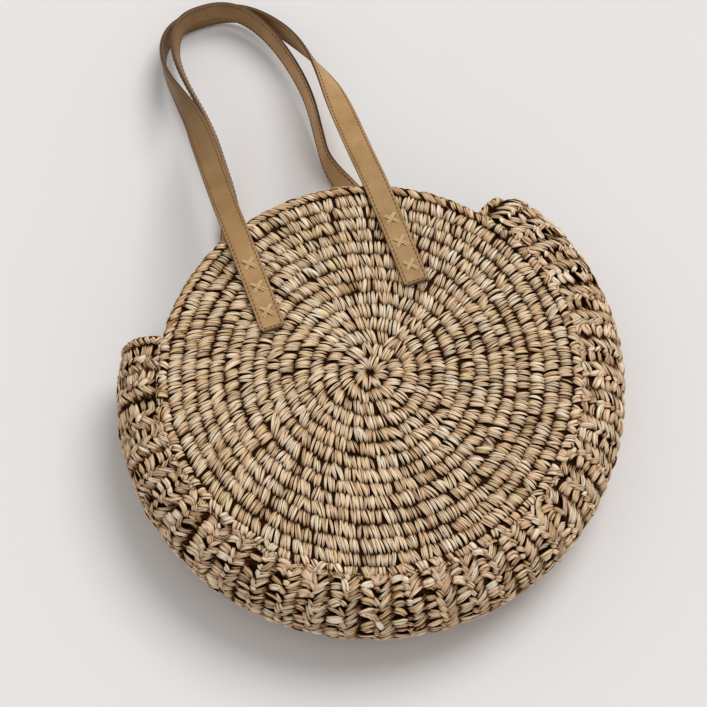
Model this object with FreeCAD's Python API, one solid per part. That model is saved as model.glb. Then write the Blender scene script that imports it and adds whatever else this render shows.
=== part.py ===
import FreeCAD, Part
import math
import os

# A round crocheted straw bag with two leather handles, lying on its back panel.
# The panels lie in XY, the mouth and the handles point along +Y, the front panel faces +Z.
# The origin is the middle of the back panel, on the surface that the bag lies on.
# Lengths are in millimetres and angles in degrees.

# Crocheted panels
panel_radius = 158.0
panel_thickness = 8.0
front_height = 96.0
front_shoulder_run = 78.0
front_shoulder_drop = 5.0
back_shoulder_run = 28.0
back_shoulder_rise = 5.0
start_ring_radius = 4.0
round_count = 14
round_relief = 1.0

# Crocheted side strip, its joining rounds and the edging of the mouth
gusset_thickness = 7.0
gusset_bulge = 31.3
mouth_half_angle = 57.4
mouth_turn = 4.0
edging_radius = 3.4
crochet_clearance = 0.2
edging_end_angle = 0.3

# Lining, slip pocket and magnetic snap
lining_thickness = 0.8
lining_clearance = 0.3
pocket_width = 140.0
pocket_depth = 100.0
pocket_from_rim = 73.0
snap_from_rim = 34.0
snap_radius = 9.0
snap_socket_height = 3.2
snap_stud_base_height = 2.2
snap_pin_radius = 3.0
snap_pin_height = 2.6
snap_pin_clearance = 0.4
snap_plate_thickness = 1.0

# Leather straps: a face and a backing, glued and sewn
strap_width = 20.0
face_thickness = 1.3
backing_thickness = 1.2
glue_line = 0.3
strap_spacing = 119.0
tab_reach = 100.0
tab_corner = 2.0
tab_clearance = 0.4
tab_steps = 6
floor_clearance = 0.3

# Thread: a bead along the strap edges and three crosses on each tab
thread_height = 0.7
thread_width = 1.1
thread_clearance = 0.2
stitch_inset = 2.2
cross_count = 3
cross_pitch = 22.0
cross_size = 10.0
cross_from_tip = 16.0

# Flex lines and loops of the two handles
flex_gap = 0.8
back_hinge_margin = 1.6
arch_fullness_share = 0.77
loop_lean = 14.0
loop_lean_start = 110.0
front_leg_run = 133.0
front_spread = 2.5
front_left_draw = 7.5
front_arch_rise = 101.0
front_apex_height = 10.7
front_twist_start = 60.0
front_twist_run = 130.0
front_twist_angle = 90.0
back_leg_run = 150.0
back_arch_rise = 80.0
back_apex_height = 22.0
back_squeeze = 18.5
back_squeeze_run = 78.0
back_spread_start = 45.0
back_spread = 7.5
back_left_draw = 9.5
back_twist_angle = 75.0
leg_steps = 8
arch_steps = 9

cut_overrun = 5.0

Vector = FreeCAD.Vector
origin = Vector(0, 0, 0)
up = Vector(0, 0, 1)
across = Vector(1, 0, 0)
along = Vector(0, 1, 0)

front_flat_radius = panel_radius - front_shoulder_run
back_flat_radius = panel_radius - back_shoulder_run
pocket_top = panel_radius - pocket_from_rim
snap_place = panel_radius - snap_from_rim
tab_tip = panel_radius - tab_reach
strap_half_width = strap_width / 2
strap_thickness = face_thickness + glue_line + backing_thickness
strap_half_spacing = strap_spacing / 2
mouth_middle = 90 + mouth_turn
gusset_start = mouth_middle + mouth_half_angle
gusset_sweep = 360 - 2 * mouth_half_angle


def shoulder_change(radius, flat_radius, change):
    """Height gained or lost at a radius on the tangent arc between a panel's flat and its rim."""
    run = panel_radius - flat_radius
    arc_radius = (run ** 2 + change ** 2) / (2 * change)
    reach = max(radius - flat_radius, 0)
    return arc_radius - math.sqrt(arc_radius ** 2 - reach ** 2)


def front_top(radius):
    return front_height - shoulder_change(radius, front_flat_radius, front_shoulder_drop)


def back_bottom(radius):
    return shoulder_change(radius, back_flat_radius, back_shoulder_rise)


# Heights of the two seams and the section of the side strip between them
front_seam_height = front_top(panel_radius) - panel_thickness / 2
back_seam_height = back_bottom(panel_radius) + panel_thickness / 2
seam_radius = panel_radius + crochet_clearance + edging_radius
gusset_edge_radius = seam_radius + edging_radius + crochet_clearance
gusset_middle_height = (front_seam_height + back_seam_height) / 2
gusset_half_chord = (front_seam_height - back_seam_height) / 2
gusset_arc_radius = (gusset_half_chord ** 2 + gusset_bulge ** 2) / (2 * gusset_bulge)
gusset_arc_centre = gusset_edge_radius + gusset_bulge - gusset_arc_radius
gusset_end_angle = math.degrees(math.asin(gusset_half_chord / gusset_arc_radius))


def section_point(radius, height):
    return Vector(radius, 0, height)


def line(start, end):
    return Part.LineSegment(start, end).toShape()


def arc(start, middle, end):
    return Part.Arc(start, middle, end).toShape()


def turned(edges, start_angle, sweep):
    """A closed section in XZ, turned about the bag's middle axis."""
    solid = Part.Face(Part.Wire(edges)).revolve(origin, up, sweep)
    solid.rotate(origin, up, start_angle)
    return solid


def cylinder(radius, height, x, y, z):
    return Part.makeCylinder(radius, height, Vector(x, y, z))


def disc_section(height_at, flat_radius, outer_radius, thickness):
    """A disc of even thickness above a height curve: flat, then its shoulder arc."""
    middle = (flat_radius + outer_radius) / 2

    def low(radius):
        return section_point(radius, height_at(radius))

    def high(radius):
        return section_point(radius, height_at(radius) + thickness)

    return [
        line(low(0), low(flat_radius)),
        arc(low(flat_radius), low(middle), low(outer_radius)),
        line(low(outer_radius), high(outer_radius)),
        arc(high(outer_radius), high(middle), high(flat_radius)),
        line(high(flat_radius), high(0)),
        line(high(0), low(0)),
    ]


def front_inner(radius):
    return front_top(radius) - panel_thickness


def back_inner(radius):
    return back_bottom(radius) + panel_thickness


def front_panel():
    """The front disc: its outer face has one swelling for each crocheted round."""
    middle = (front_flat_radius + panel_radius) / 2
    inner_centre = section_point(0, front_inner(0))
    inner_flat = section_point(front_flat_radius, front_inner(front_flat_radius))
    inner_middle = section_point(middle, front_inner(middle))
    inner_rim = section_point(panel_radius, front_inner(panel_radius))
    edges = [line(inner_centre, inner_flat), arc(inner_flat, inner_middle, inner_rim)]
    round_pitch = (panel_radius - start_ring_radius) / round_count

    def valley(number):
        radius = start_ring_radius + number * round_pitch
        return section_point(radius, front_top(radius) - round_relief)

    edges.append(line(inner_rim, valley(round_count)))
    for number in range(round_count, 0, -1):
        crest_radius = start_ring_radius + (number - 0.5) * round_pitch
        crest = section_point(crest_radius, front_top(crest_radius))
        edges.append(arc(valley(number), crest, valley(number - 1)))
    ring_centre = section_point(0, valley(0).z)
    edges.append(line(valley(0), ring_centre))
    edges.append(line(ring_centre, inner_centre))
    panel = turned(edges, 0, 360)
    recess_top = stud_plate_bottom() + snap_plate_thickness + crochet_clearance
    recess_bottom = front_inner(panel_radius) - cut_overrun
    recess_radius = snap_radius + crochet_clearance
    recess = cylinder(recess_radius, recess_top - recess_bottom, 0, snap_place, recess_bottom)
    return panel.cut(recess)


def back_panel():
    """The back disc, pressed flat by the bag's weight and hollowed where the straps lie under it."""
    section = disc_section(back_bottom, back_flat_radius, panel_radius, panel_thickness)
    panel = turned(section, 0, 360)
    recess_width = strap_width + 2 * tab_clearance
    recess_length = panel_radius - tab_tip + tab_clearance + cut_overrun
    recess_height = back_tab_face + strap_thickness + tab_clearance + cut_overrun
    for side in (-1, 1):
        corner_x = side * strap_half_spacing - recess_width / 2
        corner = Vector(corner_x, tab_tip - tab_clearance, -cut_overrun)
        panel = panel.cut(Part.makeBox(recess_width, recess_length, recess_height, corner))
    plate_bottom = back_inner(0) - snap_plate_thickness
    recess_radius = snap_radius + crochet_clearance
    recess_depth = snap_plate_thickness + crochet_clearance + cut_overrun
    recess = cylinder(recess_radius, recess_depth, 0, snap_place, plate_bottom - crochet_clearance)
    return panel.cut(recess)


def strip_section(outer_radius, inner_radius):
    """A band between two arcs about the middle of the side strip, cut off at its edge radius."""
    edge_offset = gusset_edge_radius - gusset_arc_centre
    outer_height = math.sqrt(outer_radius ** 2 - edge_offset ** 2)
    inner_height = math.sqrt(inner_radius ** 2 - edge_offset ** 2)
    outer_top = section_point(gusset_edge_radius, gusset_middle_height + outer_height)
    outer_middle = section_point(gusset_arc_centre + outer_radius, gusset_middle_height)
    outer_foot = section_point(gusset_edge_radius, gusset_middle_height - outer_height)
    inner_top = section_point(gusset_edge_radius, gusset_middle_height + inner_height)
    inner_middle = section_point(gusset_arc_centre + inner_radius, gusset_middle_height)
    inner_foot = section_point(gusset_edge_radius, gusset_middle_height - inner_height)
    return [
        arc(outer_top, outer_middle, outer_foot),
        line(outer_foot, inner_foot),
        arc(inner_foot, inner_middle, inner_top),
        line(inner_top, outer_top),
    ]


def side_gusset():
    outer = gusset_arc_radius + gusset_thickness / 2
    inner = gusset_arc_radius - gusset_thickness / 2
    return turned(strip_section(outer, inner), gusset_start, gusset_sweep)


def edge_rope(height, start_angle, sweep):
    circle = Part.Circle(section_point(seam_radius, height), along, edging_radius)
    return turned([circle.toShape()], start_angle, sweep)


def joining_round(height):
    return edge_rope(height, gusset_start, gusset_sweep)


def mouth_edging(height):
    start = mouth_middle - mouth_half_angle + edging_end_angle
    return edge_rope(height, start, 2 * (mouth_half_angle - edging_end_angle))


def gusset_edging(side):
    """The finished edge across one end of the side strip; side is +1 on the left, -1 on the right."""
    circle_centre = section_point(gusset_arc_centre + gusset_arc_radius, gusset_middle_height)
    circle = Part.Circle(circle_centre, up, edging_radius)
    rope = Part.Face(Part.Wire([circle.toShape()]))
    arc_centre = section_point(gusset_arc_centre, gusset_middle_height)
    rope.rotate(arc_centre, along, -gusset_end_angle)
    rope = rope.revolve(arc_centre, along, 2 * gusset_end_angle)
    rope.translate(Vector(0, -side * (edging_radius + crochet_clearance), 0))
    rope.rotate(origin, up, mouth_middle + side * mouth_half_angle)
    return rope


def front_lining_low(radius):
    return front_inner(radius) - lining_clearance - lining_thickness


def back_lining_low(radius):
    return back_inner(radius) + lining_clearance


def lining_disc(height_at, flat_radius):
    rim = gusset_edge_radius - lining_clearance
    return turned(disc_section(height_at, flat_radius, rim, lining_thickness), 0, 360)


def lining_side():
    outer = gusset_arc_radius - gusset_thickness / 2 - lining_clearance
    return turned(strip_section(outer, outer - lining_thickness), gusset_start, gusset_sweep)


def slip_pocket():
    bottom = back_lining_low(0) + lining_thickness + lining_clearance
    corner = Vector(-pocket_width / 2, pocket_top - pocket_depth, bottom)
    return Part.makeBox(pocket_width, pocket_depth, lining_thickness, corner)


def stud_plate_bottom():
    near_edge = snap_place - snap_radius
    return front_inner(near_edge) - lining_clearance + crochet_clearance


def snap_stud_plate():
    return cylinder(snap_radius, snap_plate_thickness, 0, snap_place, stud_plate_bottom())


def snap_socket_plate():
    bottom = back_inner(0) - snap_plate_thickness
    return cylinder(snap_radius, snap_plate_thickness, 0, snap_place, bottom)


def snap_stud():
    far_edge = snap_place + snap_radius
    base_top = front_lining_low(far_edge) - lining_clearance
    base_bottom = base_top - snap_stud_base_height
    base = cylinder(snap_radius, snap_stud_base_height, 0, snap_place, base_bottom)
    pin_bottom = base_bottom - snap_pin_height
    pin = cylinder(snap_pin_radius, snap_pin_height, 0, snap_place, pin_bottom)
    return base.fuse(pin).removeSplitter()


def snap_socket():
    far_edge = snap_place + snap_radius
    bottom = back_lining_low(far_edge) + lining_thickness + lining_clearance
    body = cylinder(snap_radius, snap_socket_height, 0, snap_place, bottom)
    bore_radius = snap_pin_radius + snap_pin_clearance
    bore_bottom = bottom + snap_socket_height - snap_pin_height
    return body.cut(cylinder(bore_radius, snap_socket_height, 0, snap_place, bore_bottom))


# Straps: every layer is lofted through stations, each a place with its width and face directions
class Station:
    def __init__(self, place, width_way, face_way, width):
        self.place = place
        self.width_way = width_way
        self.face_way = face_way
        self.width = width

    def section(self, left, right, low, high):
        corners = []
        for sideways, depth in ((left, low), (right, low), (right, high), (left, high)):
            corners.append(self.place + self.width_way * sideways + self.face_way * depth)
        return Part.makePolygon(corners + corners[:1])


face_low = strap_thickness / 2 - face_thickness
face_high = strap_thickness / 2
backing_high = backing_thickness - strap_thickness / 2
thread_low = face_high + thread_clearance
thread_high = thread_low + thread_height


def strap_layer(stations, low, high):
    sections = []
    for station in stations:
        half = station.width / 2
        sections.append(station.section(-half, half, low, high))
    return Part.makeLoft(sections, True, True)


def edge_threads(stations):
    """A bead of thread along each long edge of the face."""
    threads = []
    middle = strap_half_width - stitch_inset
    for side in (-1, 1):
        left = side * middle - thread_width / 2
        right = side * middle + thread_width / 2
        sections = [station.section(left, right, thread_low, thread_high) for station in stations]
        threads.append(Part.makeLoft(sections, True, True))
    return threads


# Flex lines: where the strap leaves the rim, measured at the strap's inner edge
rim_radius = seam_radius + edging_radius
strap_inner_edge = strap_half_spacing - strap_half_width
rim_at_strap = math.sqrt(rim_radius ** 2 - strap_inner_edge ** 2)
front_hinge_y = rim_at_strap + tab_clearance
back_hinge_y = rim_at_strap + back_hinge_margin
back_tab_face = floor_clearance + thread_height + thread_clearance


def front_tab_middle(y):
    """Height of the strap's middle on the front panel, resting on the panel at its inner edge."""
    resting_radius = math.hypot(strap_inner_edge, y)
    return front_top(resting_radius) + tab_clearance + strap_thickness / 2


def back_tab_middle(y):
    return back_tab_face + strap_thickness / 2


def tab_stations(side, height_at, face_sign, hinge_y):
    """Stations of a sewn strap end, from its cut corners at the tip to the flex line."""
    tab_end = hinge_y - flex_gap / 2
    places = [(tab_tip, strap_width - 2 * tab_corner)]
    for step in range(tab_steps + 1):
        y = tab_tip + tab_corner + (tab_end - tab_tip - tab_corner) * step / tab_steps
        places.append((y, strap_width))
    stations = []
    for y, width in places:
        slope = (height_at(y + tab_corner) - height_at(y - tab_corner)) / (2 * tab_corner)
        face_way = Vector(0, -slope, 1).normalize() * face_sign
        middle = Vector(side * strap_half_spacing, y, height_at(y))
        stations.append(Station(middle, across, face_way, width))
    return stations


def station_between(stations, y):
    """A station at a given y, between the two nearest."""
    for near, far in zip(stations, stations[1:]):
        if near.place.y <= y <= far.place.y:
            share = (y - near.place.y) / (far.place.y - near.place.y)
            place = near.place + (far.place - near.place) * share
            face_way = (near.face_way + (far.face_way - near.face_way) * share).normalize()
            return Station(place, across, face_way, strap_width)


def tab_threads(stations):
    """Edge beads of a tab, joined by a bead across its tip."""
    first = station_between(stations, tab_tip + stitch_inset - thread_width / 2)
    last = station_between(stations, tab_tip + stitch_inset + thread_width / 2)
    long_beads = edge_threads([first, last] + stations[2:])
    reach = strap_half_width - stitch_inset - thread_width / 2
    tip_sections = [end.section(-reach, reach, thread_low, thread_high) for end in (first, last)]
    tip_bead = Part.makeLoft(tip_sections, True, True)
    return Part.makeCompound(long_beads + [tip_bead])


def cross_stitches(stations):
    """Crossed threads that hold a tab, each cross one piece, in a row up the tab."""
    crosses = []
    arm = cross_size * math.sqrt(2)
    for number in range(cross_count):
        station = station_between(stations, tab_tip + cross_from_tip + number * cross_pitch)
        bars = []
        for turn in (-45, 45):
            bar = Part.makeBox(arm, thread_width, thread_height)
            bar.translate(Vector(-arm / 2, -thread_width / 2, 0))
            bar.rotate(origin, up, turn)
            bars.append(bar)
        cross = bars[0].fuse(bars[1]).removeSplitter()
        cross.Placement = FreeCAD.Placement(
            station.place + station.face_way * thread_low,
            FreeCAD.Rotation(up, station.face_way),
        ).multiply(cross.Placement)
        crosses.append(cross)
    return Part.makeCompound(crosses)


def ease(share):
    share = min(max(share, 0), 1)
    return share * share * (3 - 2 * share)


class Loop:
    """The free part of a handle: two legs and an arch between them."""

    def __init__(self, start_y, start_height, apex_height, leg_run, arch_rise, squeeze, squeeze_run,
                 spread_start, spread, left_draw, twist_start, twist_run, twist_angle, face_sign,
                 height_curve):
        self.start_y = start_y
        self.start_height = start_height
        self.apex_height = apex_height
        self.leg_run = leg_run
        self.arch_rise = arch_rise
        self.squeeze = squeeze
        self.squeeze_run = squeeze_run
        self.spread_start = spread_start
        self.spread = spread
        self.left_draw = left_draw
        self.twist_start = twist_start
        self.twist_run = twist_run
        self.twist_angle = twist_angle
        self.face_sign = face_sign
        self.height_curve = height_curve

    def height(self, run):
        share = self.height_curve(run / (self.leg_run + self.arch_rise))
        return self.start_height + (self.apex_height - self.start_height) * share

    def leg_half(self, run, side):
        """How far out a leg lies: it draws in first and then opens out, the left one less."""
        drawn_in = self.squeeze * ease(run / self.squeeze_run)
        spread_share = ease((run - self.spread_start) / (self.leg_run - self.spread_start))
        opening = self.spread if side > 0 else self.spread - self.left_draw
        return strap_half_spacing - drawn_in + opening * spread_share

    def lean(self, run):
        """How far the loop lies over to the left."""
        apex_run = self.leg_run + self.arch_rise
        return loop_lean * ease((run - loop_lean_start) / (apex_run - loop_lean_start))

    def place(self, journey):
        """Middle of the strap: 0 to 1 is the right leg, 1 to 3 the arch and 3 to 4 the left leg."""
        side = 1 if journey < 2 else -1
        if 1 <= journey <= 3:
            turn = math.radians(90 * (journey - 1))
            half = self.leg_half(self.leg_run, side) * abs(math.cos(turn)) ** arch_fullness_share
            run = self.leg_run + self.arch_rise * math.sin(turn) ** arch_fullness_share
        else:
            run = self.leg_run * min(journey, 4 - journey)
            half = self.leg_half(run, side)
        return Vector(side * half - self.lean(run), self.start_y + run, self.height(run))

    def station(self, journey):
        small_share = 0.01
        place = self.place(journey)
        before = self.place(max(journey - small_share, 0))
        after = self.place(min(journey + small_share, 4))
        tangent = (after - before).normalize()
        run = place.y - self.start_y
        step = self.leg_run * small_share
        rise = self.height(run + step) - self.height(run - step)
        plane_way = Vector(0, -rise, 2 * step).normalize()
        outward = tangent.cross(plane_way).normalize()
        turn = math.radians(self.twist_angle * ease((run - self.twist_start) / self.twist_run))
        lift = plane_way * self.face_sign
        face_way = lift * math.cos(turn) + outward * math.sin(turn)
        width_way = outward * math.cos(turn) - lift * math.sin(turn)
        return Station(place, width_way, face_way, strap_width)

    def stations(self):
        leg = [step / leg_steps for step in range(leg_steps)]
        arch = [1 + step / arch_steps for step in range(2 * arch_steps + 1)]
        left_leg = [4 - journey for journey in reversed(leg)]
        return [self.station(journey) for journey in leg + arch + left_leg]


def straight(share):
    return share


def quarter_wave(share):
    return math.sin(math.radians(90 * share))


front_loop = Loop(
    start_y=front_hinge_y + flex_gap / 2,
    start_height=front_tab_middle(front_hinge_y),
    apex_height=front_apex_height,
    leg_run=front_leg_run,
    arch_rise=front_arch_rise,
    squeeze=0,
    squeeze_run=front_leg_run,
    spread_start=0,
    spread=front_spread,
    left_draw=front_left_draw,
    twist_start=front_twist_start,
    twist_run=front_twist_run,
    twist_angle=front_twist_angle,
    face_sign=1,
    height_curve=straight,
)
back_loop = Loop(
    start_y=back_hinge_y + flex_gap / 2,
    start_height=back_tab_middle(back_hinge_y),
    apex_height=back_apex_height,
    leg_run=back_leg_run,
    arch_rise=back_arch_rise,
    squeeze=back_squeeze,
    squeeze_run=back_squeeze_run,
    spread_start=back_spread_start,
    spread=back_spread,
    left_draw=back_left_draw,
    twist_start=0,
    twist_run=back_squeeze_run,
    twist_angle=back_twist_angle,
    face_sign=-1,
    height_curve=quarter_wave,
)

nodes = {
    "front_panel": front_panel(),
    "back_panel": back_panel(),
    "side_gusset": side_gusset(),
    "front_joining_round": joining_round(front_seam_height),
    "back_joining_round": joining_round(back_seam_height),
    "front_mouth_edging": mouth_edging(front_seam_height),
    "back_mouth_edging": mouth_edging(back_seam_height),
    "left_gusset_edging": gusset_edging(1),
    "right_gusset_edging": gusset_edging(-1),
    "lining_front": lining_disc(front_lining_low, front_flat_radius),
    "lining_back": lining_disc(back_lining_low, back_flat_radius),
    "lining_side": lining_side(),
    "slip_pocket": slip_pocket(),
    "snap_stud": snap_stud(),
    "snap_stud_plate": snap_stud_plate(),
    "snap_socket": snap_socket(),
    "snap_socket_plate": snap_socket_plate(),
}

handles = (
    ("front", front_loop, front_tab_middle, front_hinge_y),
    ("back", back_loop, back_tab_middle, back_hinge_y),
)
for name, loop, tab_middle, hinge_y in handles:
    for side_name, side in (("left", -1), ("right", 1)):
        tab = tab_stations(side, tab_middle, loop.face_sign, hinge_y)
        nodes[name + "_" + side_name + "_tab_face"] = strap_layer(tab, face_low, face_high)
        nodes[name + "_" + side_name + "_tab_backing"] = strap_layer(tab, -face_high, backing_high)
        nodes[name + "_" + side_name + "_tab_stitching"] = tab_threads(tab)
        nodes[name + "_" + side_name + "_cross_stitches"] = cross_stitches(tab)
    stations = loop.stations()
    nodes[name + "_loop_face"] = strap_layer(stations, face_low, face_high)
    nodes[name + "_loop_backing"] = strap_layer(stations, -face_high, backing_high)
    nodes[name + "_loop_stitching"] = Part.makeCompound(edge_threads(stations))

os.makedirs("parts", exist_ok=True)
for node, shape in nodes.items():
    shape.exportStep("parts/" + node + ".step")
    state = "valid" if shape.isValid() else "not valid"
    print(node, len(shape.Solids), "solids", round(shape.Volume), "mm3", state)
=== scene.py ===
import math

import bpy
import numpy as np
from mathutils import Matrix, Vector


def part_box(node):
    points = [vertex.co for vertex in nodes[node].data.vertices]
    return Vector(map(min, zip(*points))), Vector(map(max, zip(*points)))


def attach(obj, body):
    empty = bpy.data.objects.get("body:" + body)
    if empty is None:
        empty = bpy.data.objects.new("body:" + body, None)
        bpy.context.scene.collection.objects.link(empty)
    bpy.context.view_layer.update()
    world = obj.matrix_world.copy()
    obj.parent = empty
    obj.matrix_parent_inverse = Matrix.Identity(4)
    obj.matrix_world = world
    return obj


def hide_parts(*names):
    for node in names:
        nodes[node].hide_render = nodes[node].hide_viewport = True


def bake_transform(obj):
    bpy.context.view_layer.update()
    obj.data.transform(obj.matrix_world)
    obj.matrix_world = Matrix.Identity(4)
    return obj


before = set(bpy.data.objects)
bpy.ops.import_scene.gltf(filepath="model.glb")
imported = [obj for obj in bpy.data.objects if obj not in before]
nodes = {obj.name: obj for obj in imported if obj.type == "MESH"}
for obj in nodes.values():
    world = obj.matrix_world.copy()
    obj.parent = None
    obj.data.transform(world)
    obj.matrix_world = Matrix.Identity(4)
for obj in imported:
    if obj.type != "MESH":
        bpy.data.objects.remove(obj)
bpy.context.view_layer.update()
scene = bpy.context.scene
print("frame loaded:", len(nodes), "nodes")

# sizes the pieces share, in metres and degrees, as in the part's source
bag = {
    "panelRadius": 0.158,
    "panelThickness": 0.008,
    "frontHeight": 0.096,
    "frontRun": 0.078,
    "frontDrop": 0.005,
    "backRun": 0.028,
    "backRise": 0.005,
    "ropeRadius": 0.0034,
    "seamRadius": 0.1616,
    "edgeRadius": 0.1652,
    "frontSeam": 0.087,
    "backSeam": 0.009,
    "mouthMiddle": 94.0,
    "mouthHalf": 57.4,
    "stripBulge": 0.0313,
    "stripThickness": 0.007,
    "strapSpacing": 0.119,
    "strapWidth": 0.020,
    "tabTip": 0.058,
    "groundInset": 0.0004,  # the ground behind the stitches stops this far short of the inner face
    "arcLimit": 0.9,  # a shoulder is followed out to this share of its arc's radius
}
bag["midHeight"] = (bag["frontSeam"] + bag["backSeam"]) / 2
halfChord = (bag["frontSeam"] - bag["backSeam"]) / 2
bag["stripArc"] = (halfChord ** 2 + bag["stripBulge"] ** 2) / (2 * bag["stripBulge"])
bag["stripCentre"] = bag["edgeRadius"] + bag["stripBulge"] - bag["stripArc"]
bag["stripStart"] = bag["mouthMiddle"] + bag["mouthHalf"]
bag["stripSweep"] = 360 - 2 * bag["mouthHalf"]


def shoulder(radius, run, change):
    # the arc by which a panel leaves its flat and meets its rim
    arc = (run ** 2 + change ** 2) / (2 * change)
    reach = np.clip(radius - (bag["panelRadius"] - run), 0, bag["arcLimit"] * arc)
    return arc - np.sqrt(arc ** 2 - reach ** 2)


def frontTop(radius):
    return bag["frontHeight"] - shoulder(radius, bag["frontRun"], bag["frontDrop"])


def backBottom(radius):
    return shoulder(radius, bag["backRun"], bag["backRise"])


panels = {"front": {"outerFace": frontTop, "facing": 1}, "back": {"outerFace": backBottom, "facing": -1}}


def inPanel(panel, radius, depth):
    return panel["outerFace"](radius) - panel["facing"] * depth


def aroundBag(radius, angle, height):
    # points about the bag's upright axis
    return np.stack(np.broadcast_arrays(radius * np.cos(angle), radius * np.sin(angle), height), axis=-1)


def turnedGrid(profile, steps):
    # profile: rows of radius and height
    turns = np.linspace(0, 2 * math.pi, steps + 1)[None, :-1]
    return aroundBag(profile[:, :1], turns, profile[:, 1:])


def unit(vectors):
    shortest = 1e-12
    return vectors / np.maximum(np.linalg.norm(vectors, axis=-1, keepdims=True), shortest)


def ease(share):
    share = np.clip(share, 0, 1)
    return share * share * (3 - 2 * share)


# colours are written as they look on screen, 0 to 255
def screen(red, green, blue):
    linear = [((c / 255 + 0.055) / 1.055) ** 2.4 if c > 10 else c / 3295 for c in (red, green, blue)]
    return (*linear, 1.0)


# node helpers


def addNode(tree, kind, values=None, **settings):
    made = tree.nodes.new(kind)
    for name, value in settings.items():
        setattr(made, name, value)
    for key, value in (values or {}).items():
        if isinstance(value, bpy.types.NodeSocket):
            tree.links.new(value, made.inputs[key])
        else:
            made.inputs[key].default_value = value
    return made


def maths(tree, operation, first, second=0.0, third=0.0, clamp=False):
    values = {0: first, 1: second, 2: third}
    return addNode(tree, "ShaderNodeMath", values, operation=operation, use_clamp=clamp).outputs[0]


def mixColours(tree, kind, share, first, second):
    values = {0: share, 6: first, 7: second}
    return addNode(tree, "ShaderNodeMix", values, data_type="RGBA", blend_type=kind).outputs[2]


def attribute(tree, name, kind):
    return addNode(tree, "ShaderNodeAttribute", attribute_name=name).outputs[kind]


def split(tree, vector):
    return addNode(tree, "ShaderNodeSeparateXYZ", {0: vector}).outputs


def noise(tree, vector, scale, detail, **more):
    values = {"Vector": vector, "Scale": scale, "Detail": detail, **more}
    return addNode(tree, "ShaderNodeTexNoise", values).outputs[0]


def mapped(tree, value, limits):
    # limits: from low, from high, to low, to high
    return addNode(tree, "ShaderNodeMapRange", dict(enumerate([value, *limits]))).outputs[0]


def ramp(tree, share, stops):
    # stops: place and colour, or one number for a grey
    made = addNode(tree, "ShaderNodeValToRGB", {0: share})
    points = made.color_ramp.elements
    while len(points) < len(stops):
        points.new(0.5)
    for point, (place, colour) in zip(points, stops):
        point.position = place
        point.color = (*colour, 1.0)[:4] if isinstance(colour, tuple) else (colour, colour, colour, 1.0)
    return made.outputs[0]


def newGroup(name, inputs, outputs):
    tree = bpy.data.node_groups.new(name, "ShaderNodeTree")
    for label, value in inputs.items():
        kind = "NodeSocketColor" if isinstance(value, tuple) else "NodeSocketFloat"
        socket = tree.interface.new_socket(name=label, in_out="INPUT", socket_type=kind)
        socket.default_value = value
    for label in outputs:
        kind = "NodeSocketColor" if label == "Color" else "NodeSocketFloat"
        tree.interface.new_socket(name=label, in_out="OUTPUT", socket_type=kind)
    return tree, tree.nodes.new("NodeGroupInput").outputs, tree.nodes.new("NodeGroupOutput").inputs


def putOut(tree, out, **values):
    for label, value in values.items():
        tree.links.new(value, out[label])
    return tree


def newMaterial(name, shaderValues):
    made = bpy.data.materials.new(name)
    made.use_nodes = True
    shader = made.node_tree.nodes["Principled BSDF"]
    for key, value in shaderValues.items():
        shader.inputs[key].default_value = value
    return made, made.node_tree, shader


def relief(tree, shader, height, strength, distance):
    bump = addNode(tree, "ShaderNodeBump", {"Height": height, "Strength": strength, "Distance": distance})
    tree.links.new(bump.outputs[0], shader.inputs["Normal"])


# straw: folded paper ribbon, streaked along its length, with painted shade where it dives between its
# neighbours and in the gaps
strawFibre = {
    "streakWaves": (75.0, 10.0),  # noise waves in a metre of strand, and once around it
    "foldWaves": (25.0, 9.0),
    "strandStep": 61.0,  # the noise moves on by this over the range of tones
    "oddShare": 0.08,  # share of strands that lean to olive, and as many to rose
    "oddTint": 0.4,
    "olive": screen(244, 246, 196),
    "rose": screen(255, 232, 228),
    "streakShades": [(0.35, (0.28, 0.16, 0.07)), (0.48, (0.88, 0.84, 0.78)), (0.6, 1.0)],
    # painted shade by the strand's depth attribute: tints that darken and warm it, then shares of the Shade
    # colour
    "paintedShadeTints": [(0.25, (0.46, 0.26, 0.10)), (0.6, (0.93, 0.86, 0.76)), (0.9, 1.0)],
    "paintedGapShades": [(0.0, 1.0), (0.26, 0.8), (0.5, 0.2), (0.75, 0.0)],
    "roughness": (0.3, 0.7, 0.78, 0.5),
    "foldHeight": 1.2,
}


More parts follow.
